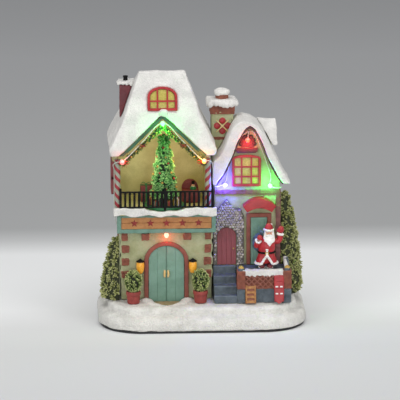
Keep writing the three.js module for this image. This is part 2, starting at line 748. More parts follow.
function sideWindow() {
  const outer = -ROOM_WIDTH / 2 - SIDE_WINDOW_OUT;
  const middle = roomBack / 2;
  const [y0, y1] = [middle - SIDE_WINDOW_LENGTH / 2, middle + SIDE_WINDOW_LENGTH / 2];
  const [z0, z1] = [SIDE_WINDOW_LEVEL, SIDE_WINDOW_LEVEL + SIDE_WINDOW_HEIGHT];
  const frame = block([outer, EPS - ROOM_WIDTH / 2], [y0, y1], [z0, z1]);
  const rail = SIDE_WINDOW_FRAME;
  const across = [outer - EPS, outer + SIDE_WINDOW_OUT / 2];
  const pane = block(across, [y0 + rail, y1 - rail], [z0 + rail, z1 - rail]);
  const cross = block([outer + MULLION / 2, outer + SIDE_WINDOW_OUT], [middle - MULLION, middle + MULLION], [z0, z1]);
  return join(cut(frame, pane), cross);
}

function toyRoom() {
  const shell = roomBlock(0, GAP, ROOM_SETBACK);
  return join(cut(shell, roomBlock(-ROOM_WALL, -EPS, -FAR)), sideWindow());
}

// Shop roof, in the same frame as the room

const roofLean = Math.atan((ROOF_EAVE_FRONT + ROOF_TOP_FRONT) / (ROOF_TOP - ROOF_EAVE));
const roofFrontAt = (z) => -ROOF_EAVE_FRONT + (z - ROOF_EAVE) * Math.tan(roofLean);

function roofHull() {
  const [eave, middle, top] = [ROOF_EAVE_WIDTH / 2, ROOF_MIDDLE_WIDTH / 2, ROOF_TOP_WIDTH / 2];
  const bottom = ROOF_EAVE - ROOF_EAVE_DROP;
  const right = [[eave - ROOF_EAVE_TUCK, bottom], [eave, ROOF_EAVE], [middle, ROOF_MIDDLE], [top, ROOF_TOP]];
  const left = right.map(([x, z]) => [-x, z]).reverse();
  const side = outline([[ROOF_EAVE_TUCK - ROOF_EAVE_FRONT, bottom], [ROOF_EAVE_BACK - ROOF_EAVE_TUCK, bottom],
    [ROOF_EAVE_BACK, ROOF_EAVE], [ROOF_SHOULDER_BACK, ROOF_SHOULDER], [ROOF_TOP_BACK, ROOF_TOP],
    [ROOF_TOP_FRONT, ROOF_TOP],
    [-ROOF_EAVE_FRONT, ROOF_EAVE]]);
  return common(runBack(outline([...right, ...left]), -FAR, FAR), runAcross(side, -FAR, FAR));
}

function onRoofFront(geometry) {
  return geometry.rotateX(-roofLean).translate(0, roofFrontAt(ROOF_WINDOW_LEVEL), ROOF_WINDOW_LEVEL);
}

// A window in its own plane: a ring with bars in front and a pane set behind the bars

function windowRing(width, height, arch, frame, thick) {
  const opening = archOutline(width, height, arch, -frame, frame);
  return cut(runBack(archOutline(width, height, arch), -thick, 0), runBack(opening, -FAR, FAR));
}

function windowFrame(width, height, arch, frame, thick, rows) {
  const bars = [];
  const front = [-thick, -thick + MULLION / 2];
  for (let i = 1; i < WINDOW_COLUMNS; i += 1) {
    const x = -width / 2 + (width * i) / WINDOW_COLUMNS;
    bars.push(block([x - MULLION / 2, x + MULLION / 2], front, [frame / 2, height - frame / 2]));
  }
  for (let i = 1; i < rows; i += 1) {
    const z = ((height - arch / 2) * i) / rows;
    bars.push(block([(frame - width) / 2, (width - frame) / 2], front, [z - MULLION / 2, z + MULLION / 2]));
  }
  const trimmed = common(join(...bars), runBack(archOutline(width, height, arch), -FAR, FAR));
  return join(windowRing(width, height, arch, frame, thick), trimmed);
}

function windowPane(width, height, arch, frame, thick) {
  const inset = frame + GAP;
  const back = -thick + MULLION / 2 + GAP;
  return runBack(archOutline(width, height, arch, -inset, inset), back, back + PANE_THICK);
}

function shopRoof() {
  const room = roomBlock(GAP, -EPS, -FAR);
  const lean = Math.tan(roofLean);
  const [low, high] = [ROOM_SIDE_HEIGHT + ROOM_WALL, ROOF_TOP - 3 * SNOW];
  const frontLow = roofFrontAt(low) + 2 * SNOW + ROOF_WINDOW_THICK;
  const frontHigh = frontLow + (high - low) * lean;
  const fall = (ROOF_TOP - ROOF_SHOULDER) / (ROOF_SHOULDER_BACK - ROOF_TOP_BACK);
  const underBack = ROOF_SHOULDER + fall * (ROOF_SHOULDER_BACK - ATTIC_BACK) - 2 * SNOW;
  const attic = outline([[frontLow, low], [ATTIC_BACK, low], [ATTIC_BACK, underBack],
    [frontHigh + SNOW, high], [frontHigh, high]]);
  const size = [ROOF_WINDOW_WIDTH, ROOF_WINDOW_HEIGHT, ROOF_WINDOW_ARCH];
  const pocket = onRoofFront(runBack(archOutline(...size, GAP, -GAP), -FAR, ROOF_WINDOW_THICK / 2 + GAP));
  const light = archOutline(...size, -2 * ROOF_WINDOW_FRAME, 2 * ROOF_WINDOW_FRAME);
  const well = onRoofFront(runBack(light, -EPS, 3 * SNOW));
  const notchLeft = cottageX + CHIMNEY_LEFT - roomX - GAP;
  const notchFront = COTTAGE_FRONT + CHIMNEY_FRONT - SHOP_FRONT - GAP;
  const notch = block([notchLeft, FAR], [notchFront, notchFront + CHIMNEY_DEPTH + 2 * GAP], [-FAR, FAR]);
  return cut(roofHull(), room, runAcross(attic, -ATTIC_WIDTH / 2, ATTIC_WIDTH / 2), pocket, well, notch);
}

function gableTrim() {
  const outer = runBack(roomOutline(-GAP, 0), -FAR, FAR);
  const inner = runBack(roomOutline(-TRIM_WIDTH, -FAR), -FAR, FAR);
  const front = common(cut(outer, inner), roofHull());
  const layered = cut(front, roofHull().translate(0, TRIM_DEPTH, 0));
  const above = block([-ROOM_WIDTH / 2 + TRIM_WIDTH, ROOM_WIDTH / 2 - TRIM_WIDTH], [-FAR, ROOM_SETBACK - GAP], [0, FAR]);
  return common(layered, above);
}

// Height of a line that runs under the gable edge at a distance from it
function underGable(x, distance) {
  const slope = (ROOM_PEAK - ROOM_SIDE_HEIGHT) / (ROOM_WIDTH / 2);
  return ROOM_PEAK - slope * Math.abs(x) - distance * Math.hypot(1, slope);
}

function garland() {
  const depth = TRIM_WIDTH + WIRE * 2 + GAP * 8 + GARLAND_RADIUS;
  const at = (x) => [x, GARLAND_FRONT + Math.abs(x) * GARLAND_LEAN, underGable(x, depth)];
  const end = ROOM_WIDTH / 2 - 2 * POST_RADIUS - EPS;
  const left = rod([at(-end), at(-end / 2), at(0)], GARLAND_RADIUS, 10);
  const right = rod([at(0), at(end / 2), at(end)], GARLAND_RADIUS, 10);
  const knot = ball(GARLAND_RADIUS * 1.1, at(0));
  const bows = BOWS.map((share) => {
    const [x, y, z] = at(share * end);
    return ball(BOW_SIZE / 2, [x, y - GARLAND_RADIUS * 0.8, z], [1.4, 0.8, 1]);
  });
  return join(left, right, knot, ...bows);
}

function stripedPost() {
  return post(POST_RADIUS, GAP, ROOM_SIDE_HEIGHT - 2);
}

function leftOfRoof(geometry) {
  return cut(geometry, roofHull().translate(-GAP * 1.5, 0, GAP * 1.5));
}

function stack() {
  const across = [STACK_X - STACK_WIDTH, STACK_X];
  const tall = block(across, [STACK_BACK, STACK_BACK + STACK_DEPTH], [ROOF_EAVE + ROOF_EAVE_DROP, STACK_TOP]);
  return leftOfRoof(tall);
}

function stackSnow() {
  const out = STACK_CAP_OUT;
  const across = [STACK_X - STACK_WIDTH - out, STACK_X + out];
  const slab = block(across, [STACK_BACK - out, STACK_BACK + STACK_DEPTH + out], [0, STACK_CAP]);
  const chimneyPot = post(STACK_POT_RADIUS, 0, STACK_CAP + STACK_POT_HEIGHT, SMALL_ROUND);
  const seated = slab.translate(0, 0, STACK_TOP + GAP);
  const middle = [STACK_X - STACK_WIDTH / 2, STACK_BACK + STACK_DEPTH / 2, STACK_TOP + GAP];
  return leftOfRoof(join(seated, chimneyPot.translate(...middle)));
}

// Turning tree, round its own axis, z up from the balcony floor

function treePlatter() {
  const plate = post(PLATTER_RADIUS, GAP, PLATTER_THICK, 2 * ROUND);
  const spindle = post(SPINDLE_RADIUS, -SPINDLE_LENGTH, 1);
  const presents = [];
  for (let i = 0; i < PRESENT_COUNT; i += 1) {
    const size = PRESENT_SIZE * (i % 2 === 0 ? 1 : 0.8);
    const present = block([-size / 2, size / 2], [-size / 2, size / 2], [PLATTER_THICK - EPS, PLATTER_THICK + size]);
    const angle = (2 * Math.PI * i) / PRESENT_COUNT;
    presents.push(present.translate(PRESENT_RING, 0, 0).rotateZ(angle));
  }
  return join(plate, spindle, ...presents);
}

function indoorTree() {
  const base = PLATTER_THICK + GAP;
  const [r, low] = [TREE_RADIUS, base + TREE_TRUNK];
  const tall = TREE_HEIGHT - TREE_TRUNK;
  const profile = [[0, base], [r * 0.18, base], [r * 0.18, low], [r * 0.9, low], [r, low + tall * 0.06],
    [r * 0.72, low + tall * 0.36], [r * 0.78, low + tall * 0.4], [r * 0.42, low + tall * 0.7],
    [r * 0.46, low + tall * 0.74], [r * 0.12, low + tall * 0.95], [0, low + tall]];
  return turn(profile, SMALL_ROUND);
}

// Gear motor that hangs under the balcony floor, z from the underside of the floor
function gearMotor() {
  const can = post(MOTOR_RADIUS, -MOTOR_HEIGHT, -GAP);
  const reach = MOTOR_RADIUS + MOTOR_EAR;
  const ears = block([-reach, reach], [-MOTOR_EAR, MOTOR_EAR], [-MOTOR_EAR / 2 - GAP, -GAP]);
  const socket = post(SPINDLE_RADIUS + GAP, GAP - SPINDLE_LENGTH + BALCONY_THICK - 2 * GAP, EPS);
  return cut(join(can, ears), socket);
}

function giftBox() {
  const half = GIFT_SIZE / 2;
  const box = block([-half, half], [-half, half], [GAP, GIFT_HEIGHT * 0.8]);
  const bow = ball(GIFT_SIZE * 0.25, [0, 0, GIFT_HEIGHT * 0.85], [1.5, 1, 0.8]);
  return join(box, bow);
}

function toyChest() {
  const [half, deep] = [CHEST_WIDTH / 2, CHEST_DEPTH];
  const box = block([-half, half], [0, deep], [GAP, CHEST_HEIGHT]);
  const lid = runBack(archOutline(CHEST_WIDTH, CHEST_HEIGHT * 1.8, CHEST_HEIGHT * 0.7, 0, CHEST_HEIGHT - 1),
    deep - 3, deep);
  const toy = ball(half * 0.5, [half * 0.35, deep * 0.35, CHEST_HEIGHT + half * 0.2], [1, 1, 1.2]);
  return join(box, lid, toy);
}

// Battery bay and switch, in the shop's frame

function batteryBox() {
  const half = bayWidth / 2;
  const [front, back] = [SHOP_DEPTH - bayDepth, SHOP_DEPTH - GAP];
  const tub = block([BAY_X - half, BAY_X + half], [front, back], [BAY_LEVEL, BAY_LEVEL + bayHeight]);
  const inner = half - BAY_SKIN;
  const rows = [BAY_LEVEL + BAY_SKIN, BAY_LEVEL + bayHeight - BAY_SKIN];
  const space = block([BAY_X - inner, BAY_X + inner], [front + BAY_SKIN, FAR], rows);
  return cut(tub, space);
}

function cell() {
  const nub = CELL_LENGTH / 2 + CONTACT_SPACE / 4;
  return turn([[0, -CELL_LENGTH / 2], [CELL_RADIUS, -CELL_LENGTH / 2], [CELL_RADIUS, CELL_LENGTH / 2],
    [CELL_RADIUS * 0.35, CELL_LENGTH / 2], [CELL_RADIUS * 0.35, nub], [0, nub]]).rotateY(Math.PI / 2);
}

function batteryDoor() {
  const half = bayWidth / 2 + BAY_DOOR_LAP;
  const face = [GAP - HINGE_RADIUS, GAP - HINGE_RADIUS + BAY_DOOR_THICK].map((y) => y - GAP);
  const [low, high] = [BAY_LEVEL - BAY_DOOR_LAP - hingeLevel, bayDoorTop - hingeLevel];
  const plate = block([-half, half], face, [low, high]);
  const tab = block([-HINGE_LENGTH / 2, HINGE_LENGTH / 2], face, [high - 1, 0]);
  const barrel = post(HINGE_RADIUS, -HINGE_LENGTH / 2, HINGE_LENGTH / 2, SMALL_ROUND).rotateY(Math.PI / 2);
  const reach = HINGE_LENGTH / 2 + GAP + HINGE_LUG;
  const pin = post(HINGE_PIN, -reach, reach, SMALL_ROUND).rotateY(Math.PI / 2);
  const grip = block([-HINGE_LENGTH / 4, HINGE_LENGTH / 4], [face[1] - EPS, face[1] + 1], [low + 2, low + 4]);
  return join(plate, tab, barrel, pin, grip);
}

function switchBoard() {
  const back = SHOP_DEPTH - WALL - GAP;
  const front = back - SWITCH_BODY_DEPTH;
  const body = block([-SWITCH_BODY / 2, SWITCH_BODY / 2], [front, back], [-SWITCH_BODY / 3, SWITCH_BODY / 3]);
  const rows = [-BOARD_HEIGHT / 3, BOARD_HEIGHT * 2 / 3];
  const board = block([-BOARD_WIDTH / 2, BOARD_WIDTH / 2], [front - BOARD_THICK, front + EPS], rows);
  const track = [-SWITCH_SLOT_HEIGHT / 2, SWITCH_SLOT_HEIGHT / 2];
  const channel = block([-SWITCH_SLOT / 2, SWITCH_SLOT / 2], [back - SWITCH_BODY_DEPTH / 2, FAR], track);
  return cut(join(body, board), channel).translate(SWITCH_X, 0, SWITCH_LEVEL);
}

function switchKnob() {
  const inner = SHOP_DEPTH - WALL - SWITCH_BODY_DEPTH / 2;
  return block([-KNOB_WIDTH / 2, KNOB_WIDTH / 2], [inner, SHOP_DEPTH + KNOB_OUT], [-KNOB_HEIGHT / 2, KNOB_HEIGHT / 2]);
}

// Cottage: x from the middle of its front, y back from its front, z up from the snow

// The space under the gable roof, round the ridge line, above the height of its feet
function gableInside(grow, bottom) {
  const [half, rise] = [GABLE_HALF + grow, GABLE_RISE + grow * 1.6];
  const shape = new THREE.Shape();
  shape.moveTo(-half, bottom);
  shape.lineTo(half, bottom);
  shape.lineTo(half, 0);
  shape.bezierCurveTo(half * GABLE_WAIST, rise * 0.42, half * GABLE_WAIST, rise * 0.9, 0, rise);
  shape.bezierCurveTo(-half * GABLE_WAIST, rise * 0.9, -half * GABLE_WAIST, rise * 0.42, -half, 0);
  return shape;
}

// The outside of the snow on the gable roof; its left foot is heaped against the shop
function gableOutside(grow, bottom) {
  const [left, right] = [GABLE_LEFT_REACH + grow, GABLE_RIGHT_REACH + grow];
  const [rise, heap] = [GABLE_SNOW_TOP + grow * 1.6, GABLE_LEFT_FOOT + grow];
  const lean = GABLE_SNOW_LEAN;
  const shape = new THREE.Shape();
  shape.moveTo(-left, bottom);
  shape.lineTo(right - SNOW, bottom);
  shape.lineTo(right, grow);
  shape.bezierCurveTo(right * 0.5, rise * 0.46, right * 0.44, rise * 0.98, -lean, rise);
  shape.bezierCurveTo(-left * 0.5 - lean, rise * 0.98, -left * 0.52, heap + rise * 0.16, -left, heap);
  return shape;
}

const onGable = (geometry) => geometry.translate(GABLE_SHIFT, 0, GABLE_FOOT);

function gableHull(grow, bottom) {
  return onGable(runBack(gableOutside(grow, bottom), -GABLE_OUT - grow, GABLE_BACK + grow));
}

function rearUnder(y, drop) {
  const slope = (REAR_RIDGE - REAR_EAVE) / (REAR_RIDGE_BACK - REAR_FRONT);
  return REAR_RIDGE - SNOW - drop - slope * Math.abs(y - REAR_RIDGE_BACK);
}

function cottageWalls() {
  const half = COTTAGE_WIDTH / 2;
  const wallTop = GABLE_FOOT - WALL;
  const lower = block([-half, half], [0, COTTAGE_DEPTH], [GAP, wallTop]);
  const gable = onGable(runBack(gableInside(-GAP * 1.5, -2 * WALL), 0, GABLE_BACK));
  const trimmed = common(gable, block([-half, half], [-EPS, FAR], [0, FAR]));
  const behind = GABLE_BACK + 2 * GAP;
  const rearSide = outline([[behind, wallTop - WALL], [COTTAGE_DEPTH, wallTop - WALL],
    [COTTAGE_DEPTH, rearUnder(COTTAGE_DEPTH, GAP)], [behind, rearUnder(behind, GAP)]]);
  const rear = runAcross(rearSide, WALL - half, REAR_WALL_RIGHT);
  const wingSide = outline([[2 * WALL, wallTop], [behind + 1, wallTop], [behind + 1, rearUnder(behind + 1, GAP)],
    [REAR_RIDGE_BACK, rearUnder(REAR_RIDGE_BACK, GAP)], [2 * WALL, rearUnder(2 * WALL, GAP)]]);
  const wing = cut(runAcross(wingSide, GABLE_SHIFT, REAR_WALL_RIGHT), gableHull(GAP, -3 * WALL));
  const beam = block([-half, half], [-BEAM_OUT, WALL / 2], [BEAM_LEVEL, BEAM_LEVEL + BEAM_HEIGHT]);
  const corner = block([half - CORNER_POST, half], [-BEAM_OUT, WALL / 2], [PORCH_HEIGHT + GAP, BEAM_LEVEL + EPS]);
  const ledgeLow = WINDOW_LEVEL + WINDOW_HEIGHT + LEDGE_HEIGHT;
  const ledgeHalf = LEDGE_WIDTH / 2;
  const ledge = block([-ledgeHalf, ledgeHalf], [-LEDGE_OUT, WALL / 2], [ledgeLow, ledgeLow + LEDGE_HEIGHT]);
  const room = block([WALL - half, half - WALL], [WALL, COTTAGE_DEPTH - WALL], [-EPS, wallTop - WALL]);
  const loft = onGable(runBack(gableInside(-1.5 * WALL, -3 * WALL), WALL, GABLE_BACK - WALL));
  const rearRoom = block([2 * WALL - half, REAR_WALL_RIGHT - WALL], [behind + WALL, COTTAGE_DEPTH - WALL],
    [wallTop - 3 * WALL, rearUnder(COTTAGE_DEPTH, WALL)]);
  return cut(join(lower, trimmed, rear, wing, beam, corner, ledge), room, loft, rearRoom);
}

function gableRoof() {
  const inside = onGable(runBack(gableInside(0, -FAR), -FAR, FAR));
  return cut(gableHull(0, 0), inside);
}

function rearRoof() {
  const [low, ridge] = [REAR_EAVE - SNOW, REAR_RIDGE - SNOW];
  const side = outline([[REAR_FRONT, low], [REAR_RIDGE_BACK, ridge], [REAR_BACK, low], [REAR_BACK, REAR_EAVE],
    [REAR_RIDGE_BACK, REAR_RIDGE], [REAR_FRONT, REAR_EAVE]]);
  const left = roomX + ROOF_EAVE_WIDTH / 2 + 3 * GAP - cottageX;
  const slab = runAcross(side, left, REAR_RIGHT);
  const frontLeft = block([-FAR, GABLE_SHIFT], [-FAR, GABLE_BACK + GAP], [0, FAR]);
  return cut(slab, frontLeft, gableHull(GAP, 0));
}

function stoneArch() {
  const [half, low] = [STONE_WIDTH / 2, PORCH_HEIGHT + GAP];
  const [shoulder, peak] = [low + STONE_HEIGHT, low + STONE_PEAK];
  const plate = outline([[-half, low], [half, low], [half, shoulder - half * 0.55], [half * 0.75, shoulder],
    [half * 0.32, shoulder + 1], [-half * 0.1, peak], [-half * 0.7, shoulder], [-half, shoulder - half * 0.4]]);
  const opening = archOutline(RED_DOOR_WIDTH, low + RED_DOOR_HEIGHT, RED_DOOR_WIDTH / 2, GAP, 0);
  const hole = runBack(opening, -FAR, FAR).translate(RED_DOOR_SIDE - half + RED_DOOR_WIDTH / 2, 0, 0);
  return cut(runBack(plate, -STONE_THICK - GAP, -GAP), hole);
}

const stoneLeft = () => shopRight + QUOIN_OUT + 2 * GAP - cottageX;

function redDoor() {
  const low = PORCH_HEIGHT + GAP;
  const shape = archOutline(RED_DOOR_WIDTH, low + RED_DOOR_HEIGHT, RED_DOOR_WIDTH / 2, 0, low);
  return runBack(shape, -STONE_THICK / 2 - GAP, -GAP);
}

function tealDoor() {
  const half = TEAL_DOOR_WIDTH / 2;
  const low = PORCH_HEIGHT + GAP;
  const panel = block([-half, half], [-STONE_THICK / 2 - GAP, -GAP], [low, low + TEAL_DOOR_HEIGHT]);
  return join(panel, ball(HANDLE_RADIUS * 0.7, [half * 0.7, -STONE_THICK / 2 - GAP, low + TEAL_DOOR_HEIGHT * 0.4]));
}

function tealFrame() {
  const [half, low] = [TEAL_DOOR_WIDTH / 2 + GAP, PORCH_HEIGHT + GAP];
  const top = low + TEAL_DOOR_HEIGHT + GAP;
  const depth = [-STONE_THICK - GAP, -GAP];
  const outer = block([-half - TEAL_FRAME, half + TEAL_FRAME], depth, [low, top + TEAL_FRAME]);
  return cut(outer, block([-half, half], [-FAR, FAR], [0, top]));
}

function awning() {
  const [half, low] = [AWNING_WIDTH / 2, PORCH_HEIGHT + AWNING_LEVEL];
  const shape = new THREE.Shape();
  shape.moveTo(-half, low + AWNING_THICK);
  shape.lineTo(-half * 0.75, low);
  shape.quadraticCurveTo(0, low + AWNING_RISE, half * 0.75, low);
  shape.lineTo(half, low + AWNING_THICK);
  shape.quadraticCurveTo(0, low + AWNING_THICK + 2 * AWNING_RISE, -half, low + AWNING_THICK);
  return runBack(shape, -AWNING_OUT, -GAP);
}

// Chimney of the cottage, in the cottage's frame

const chimneyMiddle = () => [CHIMNEY_LEFT + CHIMNEY_WIDTH / 2, CHIMNEY_FRONT + CHIMNEY_DEPTH / 2];

function ornament() {
  const [x] = chimneyMiddle();
  const spots = [[1, 0], [-1, 0], [0, 1], [0, -1]];
  return spots.map(([a, b]) => {
    const at = [x + a * ORNAMENT_REACH, CHIMNEY_FRONT, ORNAMENT_LEVEL + b * ORNAMENT_REACH];
    return ball(ORNAMENT_LOBE, at, [1, 0.3, 1]);
  });
}

function chimney() {
  const [x, y] = chimneyMiddle();
  const centred = (grow, z0, z1) => block([x - CHIMNEY_WIDTH / 2 - grow, x + CHIMNEY_WIDTH / 2 + grow],
    [y - CHIMNEY_DEPTH / 2 - grow, y + CHIMNEY_DEPTH / 2 + grow], [z0, z1]);
  const cap = centred(CHIMNEY_CAP_OUT, CHIMNEY_TOP, CHIMNEY_TOP + CHIMNEY_CAP);
  const body = join(centred(0, GABLE_FOOT, CHIMNEY_TOP + EPS), cap, ...ornament());
  return cut(body, gableHull(GAP, -FAR / 4));
}

function chimneySnow() {
  const [x, y] = chimneyMiddle();
  const [half, deep] = [CHIMNEY_WIDTH / 2, CHIMNEY_DEPTH / 2];
  const low = CHIMNEY_TOP + CHIMNEY_CAP + GAP;
  const out = CHIMNEY_SNOW_OUT;
  const cap = block([-half - out, half + out], [-deep - out, deep + out], [-CHIMNEY_SNOW_DROP, CHIMNEY_SNOW]);
  const seat = CHIMNEY_CAP_OUT + GAP;
  const socket = block([-half - seat, half + seat], [-deep - seat, deep + seat], [-FAR, 0]);
  const potTop = CHIMNEY_SNOW + CHIMNEY_POT_HEIGHT;
  const chimneyPot = post(CHIMNEY_POT_RADIUS, CHIMNEY_SNOW - EPS, potTop, SMALL_ROUND);
  const heap = ball(CHIMNEY_POT_RADIUS * 1.35, [0, 0, potTop + CHIMNEY_POT_SNOW * 0.45],
    [1, 1, CHIMNEY_POT_SNOW / 2 / CHIMNEY_POT_RADIUS]);
  return join(cut(cap, socket), chimneyPot, heap).translate(x, y, low);
}

// Stairs and porch, in the cottage's frame

function stairs() {
  const riser = PORCH_HEIGHT / STEP_COUNT;
  const points = [[-GAP, PORCH_HEIGHT], [-GAP, GAP]];
  const reach = LANDING + (STEP_COUNT - 1) * STEP_TREAD;
  points.push([-reach, GAP]);
  for (let i = 1; i < STEP_COUNT; i += 1) {
    const y = -reach + (i - 1) * STEP_TREAD;
    points.push([y, i * riser], [y + STEP_TREAD, i * riser]);
  }
  points.push([-LANDING, PORCH_HEIGHT]);
  const left = stoneLeft();
  return runAcross(outline(points.reverse()), left, left + STAIR_WIDTH);
}

const porchLeft = () => stoneLeft() + STAIR_WIDTH + GAP;

function porchBlock() {
  const left = porchLeft();
  const right = left + PORCH_WIDTH;
  const inset = PORCH_BAND_IN;
  const base = block([left, right], [-PORCH_OUT, -GAP], [GAP, PORCH_STONE]);
  const band = block([left + inset, right - inset], [inset - PORCH_OUT, -GAP], [PORCH_STONE - EPS, PORCH_HEIGHT]);
  const floor = block([left, right], [-PORCH_OUT, -GAP], [PORCH_HEIGHT - 2 * PORCH_BAND_IN, PORCH_HEIGHT]);
  const posts = [left + PORCH_POST / 2, right - PORCH_POST / 2].map((x) => {
    const span = [x - PORCH_POST / 2, x + PORCH_POST / 2];
    return block(span, [-PORCH_OUT - PORCH_POST_OUT, PORCH_POST - PORCH_OUT], [GAP, PORCH_HEIGHT]);
  });
  const balls = [left + PORCH_POST / 2, right - PORCH_POST / 2].map((x) => {
    const y = -PORCH_OUT + PORCH_POST / 2 - PORCH_POST_OUT;
    return ball(BALL_RADIUS, [x, y, PORCH_HEIGHT + BALL_RADIUS * 0.7]);
  });
  const rail = outline([[PORCH_POST - PORCH_OUT, PORCH_HEIGHT - EPS], [-1, PORCH_HEIGHT - EPS],
    [-1, PORCH_HEIGHT + RAIL_HEIGHT], [-PORCH_POST, PORCH_HEIGHT + RAIL_HEIGHT],
    [PORCH_POST - PORCH_OUT, PORCH_HEIGHT + RAIL_HEIGHT * 0.4]]);
  const railing = runAcross(rail, right - PORCH_BAND_IN - RAIL_WIDTH, right - PORCH_BAND_IN);
  const hollow = block([left + WALL, right - WALL], [WALL - PORCH_OUT, -WALL], [-EPS, PORCH_HEIGHT - WALL]);
  return cut(join(base, band, floor, ...posts, ...balls, railing), hollow);
}

function porchSnow() {
  const span = [porchLeft() + PORCH_POST + GAP, porchLeft() + PORCH_WIDTH - PORCH_POST - GAP];
  const front = -PORCH_OUT - PORCH_POST_OUT;
  const drop = PORCH_HEIGHT - PORCH_SNOW_DROP;
  const face = block(span, [front, -PORCH_OUT - GAP], [drop, PORCH_HEIGHT + PORCH_SNOW_TOP]);
  const top = [PORCH_HEIGHT + GAP, PORCH_HEIGHT + PORCH_SNOW_TOP];
  return join(face, block(span, [front, PORCH_SNOW_BACK - PORCH_OUT], top));
}

// A sled as it lies, length up along z, runners and slats
function woodenSled() {
  const [half, rail] = [SLED_WIDTH / 2, SLED_WIDTH * 0.2];
  const rails = [-1, 1].map((side) => {
    const x = side * (half - rail / 2);
    return block([x - rail / 2, x + rail / 2], [-SLED_THICK, 0], [0, SLED_LENGTH]);
  });
  const slats = [];
  for (let i = 0; i < SLED_SLATS; i += 1) {
    const z = (SLED_LENGTH * (i + 0.5)) / SLED_SLATS;
    slats.push(block([rail / 2 - half, half - rail / 2], [-SLED_THICK * 0.7, -SLED_THICK * 0.2],
      [z - rail / 2, z + rail / 2]));
  }
  return join(...rails, ...slats);
}

function redSled() {
  const half = RED_SLED_WIDTH / 2;
  const board = outline([[-half, half * 0.6], [0, 0], [half, half * 0.6], [half, RED_SLED_LENGTH],
    [-half, RED_SLED_LENGTH]]);
  const studs = [];
  for (const share of RED_SLED_STUDS) {
    for (const side of [-1, 1]) {
      const stud = block([-half * 0.35, half * 0.35], [-SLED_THICK - 0.6, -SLED_THICK / 2], [-0.6, 0.6]);
      studs.push(stud.translate(side * half * 0.5, 0, RED_SLED_LENGTH * share));
    }
  }
  return join(runBack(board, -SLED_THICK, 0), ...studs);
}

// Santa figure, z up from the porch floor

function santa() {
  const h = SANTA_HEIGHT;
  const part = (share) => h * share;
  const boots = [-1, 1].map((side) => ball(part(0.075), [side * part(0.085), -part(0.02), part(0.055)], [1, 1.4, 0.8]));
  const legs = [-1, 1].map((side) => post(part(0.06), part(0.03), part(0.2), CURVE).translate(side * part(0.085), 0, 0));
  const coat = turn([[0, part(0.14)], [part(0.22), part(0.14)], [part(0.225), part(0.2)], [part(0.175), part(0.38)],
    [part(0.18), part(0.52)], [part(0.15), part(0.64)], [part(0.06), part(0.72)], [0, part(0.72)]], SMALL_ROUND).scale(1, 0.8, 1);
  const head = ball(part(0.115), [0, -part(0.01), part(0.79)]);
  const beard = ball(part(0.125), [0, -part(0.1), part(0.64)], [1, 0.75, 1.45]);
  const hat = turn([[0, part(0.83)], [part(0.125), part(0.83)], [part(0.13), part(0.88)], [part(0.07), part(0.97)],
    [0, h]], SMALL_ROUND);
  const [s, e] = [[-part(0.12), 0, part(0.64)], [-part(0.26), -part(0.02), part(0.5)]];
  const bent = rod([s, e, [-part(0.22), -part(0.1), part(0.64)], [-part(0.2), -part(0.08), part(0.72)]], part(0.07), 8);
  const raised = rod([[part(0.12), 0, part(0.62)], [part(0.26), -part(0.02), part(0.62)],
    [part(0.3), -part(0.03), part(0.82)]], part(0.07), 8);
  const mitt = ball(part(0.085), [part(0.3), -part(0.03), part(0.86)]);
  const sack = ball(part(0.15), [-part(0.17), part(0.12), part(0.66)], [1, 0.8, 1.2]);
  const figure = join(coat, ...legs, ...boots, head, beard, hat, bent, raised, mitt, sack);
  return cut(figure, block([-h, h], [-h, h], [-h, GAP]));
}

// Firs: a foliage cone cut flat where it stands against a house wall

function fir(radius, height) {
  const [r, h] = [radius, height];
  return turn([[0, GAP], [r * 0.9, GAP], [r, h * 0.08], [r * 0.82, h * 0.3], [r * 0.62, h * 0.55],
    [r * 0.4, h * 0.78], [r * 0.14, h * 0.96], [0, h]], ROUND);
}

// LED strings: one wire with its bulbs

function bulbs(places) {
  return places.map((place) => ball(BULB, place));
}

function shopString() {
  const side = ROOM_WIDTH / 2 + WIRE + 2 * GAP;
  const depth = TRIM_WIDTH + WIRE + 7 * GAP;
  const [eave, step] = [ROOM_SIDE_HEIGHT, ROOM_SIDE_HEIGHT / 11];
  const inner = ROOM_WIDTH / 2 - 2 * POST_RADIUS;
  const slope = [[inner, -2.5 * step], [inner / 2, -1.6 * step]];
  const onSlope = ([x, y]) => [x, y, underGable(x, depth)];
  const left = [[ROOM_WALL + 2 * GAP - side, step, -4 * step], [-side, 0.8 * step, -0.8 * step],
    [-side, step, 2 * step], [-side, step, eave - 2.8 * step], [-side - 0.2 * step, -0.6 * step, eave - 1.4 * step],
    [0.6 * step - side, -1.8 * step, eave - 0.6 * step]];
  const right = [[side - 0.2 * step, -2.4 * step, eave - 0.4 * step],
    [side + 0.36 * step, -1.2 * step, eave - 2.6 * step], [side + 0.4 * step, -0.36 * step, eave - 5 * step],
    [side + 0.52 * step, -0.36 * step, eave - 6 * step], [side + 1.12 * step, 0.2 * step, eave - 6.4 * step],
    [side + 1.8 * step, 0.8 * step, eave - 6.4 * step]];
  const climb = slope.map(([x, y]) => onSlope([-x, y]));
  const ridge = [0, -step, underGable(0, depth)];
  const wire = rod([...left, ...climb, ridge, ...slope.map(onSlope).reverse(), ...right], WIRE, STRING_STEPS, 6);
  const ends = [-inner, inner].map((x) => [x, -2.9 * step, underGable(x, depth)]);
  return join(wire, ...bulbs([ends[0], [0, -1.4 * step, underGable(0, depth)], ends[1]]));
}

